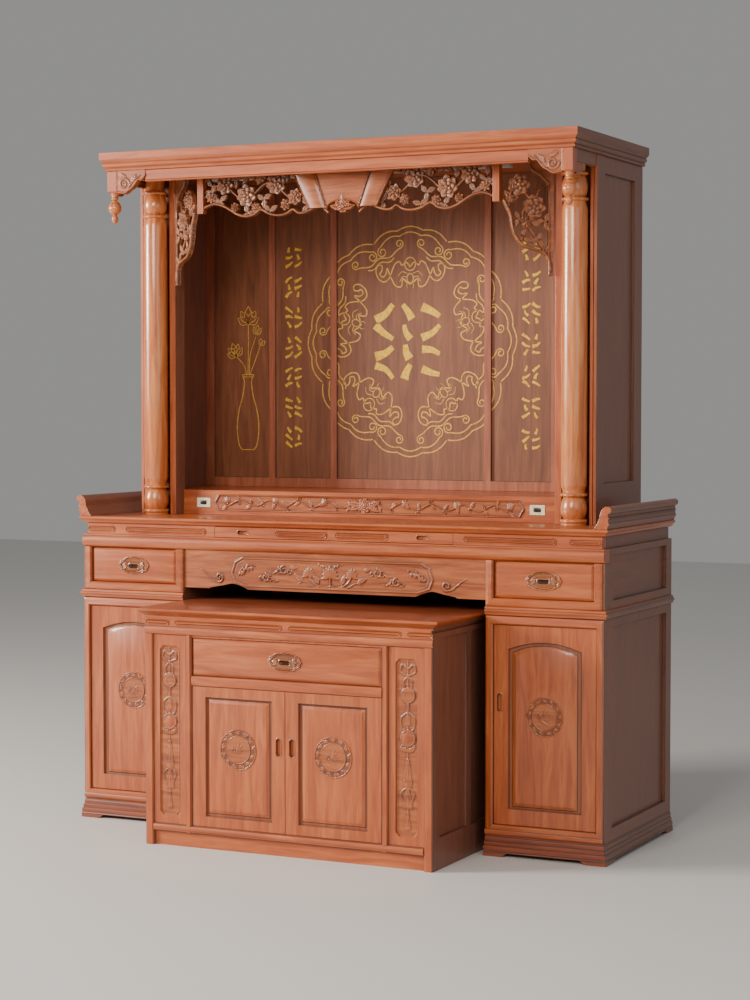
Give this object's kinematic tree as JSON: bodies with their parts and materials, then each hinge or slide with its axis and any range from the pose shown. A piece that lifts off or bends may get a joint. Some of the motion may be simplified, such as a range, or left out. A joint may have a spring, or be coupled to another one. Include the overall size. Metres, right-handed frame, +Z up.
{
  "type": "household altar cabinet",
  "caption": "Carved hardwood altar: a table on pedestals carries an open, roofed shrine, and a small cabinet stands in its kneehole.",
  "frame": {"origin": "centre of the bounding box at floor level", "axes": "+Z up, +X to the right as seen from the front, front towards -Y"},
  "size_m": [1.884, 0.945, 2.205],
  "materials": {
    "front_wood": "reddish hardwood under clear gloss lacquer",
    "shade_wood": "the same wood in its darker side panels, lacquered",
    "carved_wood": "carved and pierced wood, lacquered and slightly darkened in its grooves",
    "turned_wood": "turned wood under gloss lacquer",
    "inner_wood": "dark red-brown panelling, semi-gloss, with gold line work",
    "lamp_plastic": "white lamp batten",
    "socket_plastic": "cream socket plate"
  },
  "bodies": {
    "frame": {"apron": "carved_wood", "bracket_front_left": "carved_wood", "bracket_front_right": "carved_wood", "bracket_side_left": "carved_wood", "bracket_side_right": "carved_wood", "cabinet_carcase": "front_wood", "cabinet_panel_left": "carved_wood", "cabinet_panel_right": "carved_wood", "cabinet_plinth": "front_wood", "cabinet_top": "front_wood", "column_left": "turned_wood", "column_right": "turned_wood", "corner_post_left": "front_wood", "corner_post_right": "front_wood", "divider_left": "carved_wood", "divider_right": "carved_wood", "drawer_case_left": "shade_wood", "drawer_case_right": "shade_wood", "dust_board": "inner_wood", "fascia_front": "front_wood", "fascia_side_left": "front_wood", "fascia_side_right": "front_wood", "fretwork_left": "carved_wood", "fretwork_right": "carved_wood", "front_rail": "front_wood", "gallery_left": "front_wood", "gallery_right": "front_wood", "kneehole_back": "inner_wood", "lamp_batten": "lamp_plastic", "pedestal_left": "shade_wood", "pedestal_right": "shade_wood", "pilaster_left": "front_wood", "pilaster_right": "front_wood", "plaque": "carved_wood", "plinth_left": "front_wood", "plinth_right": "front_wood", "roof": "front_wood", "shrine_back": "inner_wood", "shrine_side_left": "inner_wood", "shrine_side_right": "inner_wood", "shrine_step": "carved_wood", "socket_left": "socket_plastic", "socket_right": "socket_plastic", "spandrel_left": "carved_wood", "spandrel_right": "carved_wood", "table_top": "front_wood", "waist_left": "front_wood", "waist_right": "front_wood"},
    "door_left": {"door_left": "front_wood"},
    "door_right": {"door_right": "front_wood"},
    "drawer_left": {"drawer_left": "front_wood"},
    "drawer_right": {"drawer_right": "front_wood"},
    "pullout_board": {"pullout_board": "front_wood"},
    "cabinet_drawer": {"cabinet_drawer": "front_wood"},
    "cabinet_door_left": {"cabinet_door_left": "front_wood"},
    "cabinet_door_right": {"cabinet_door_right": "front_wood"}
  },
  "joints": [
    {"name": "door_left_hinge", "type": "hinge", "parent": "frame", "child": "door_left", "pos_m": [-0.8935, -0.1525, 0.405], "axis": [0, 0, -1], "range_deg": [0, 95]},
    {"name": "door_right_hinge", "type": "hinge", "parent": "frame", "child": "door_right", "pos_m": [0.8935, -0.1525, 0.405], "axis": [0, 0, 1], "range_deg": [0, 95]},
    {"name": "cabinet_door_left_hinge", "type": "hinge", "parent": "frame", "child": "cabinet_door_left", "pos_m": [-0.3265, -0.4525, 0.289], "axis": [0, 0, -1], "range_deg": [0, 95]},
    {"name": "cabinet_door_right_hinge", "type": "hinge", "parent": "frame", "child": "cabinet_door_right", "pos_m": [0.3265, -0.4525, 0.289], "axis": [0, 0, 1], "range_deg": [0, 95]},
    {"name": "drawer_left_slide", "type": "slide", "parent": "frame", "child": "drawer_left", "axis": [0, -1, 0], "range_m": [0, 0.3]},
    {"name": "drawer_right_slide", "type": "slide", "parent": "frame", "child": "drawer_right", "axis": [0, -1, 0], "range_m": [0, 0.3]},
    {"name": "cabinet_drawer_slide", "type": "slide", "parent": "frame", "child": "cabinet_drawer", "axis": [0, -1, 0], "range_m": [0, 0.3]},
    {"name": "pullout_board_slide", "type": "slide", "parent": "frame", "child": "pullout_board", "axis": [0, -1, 0], "range_m": [0, 0.3]}
  ]
}
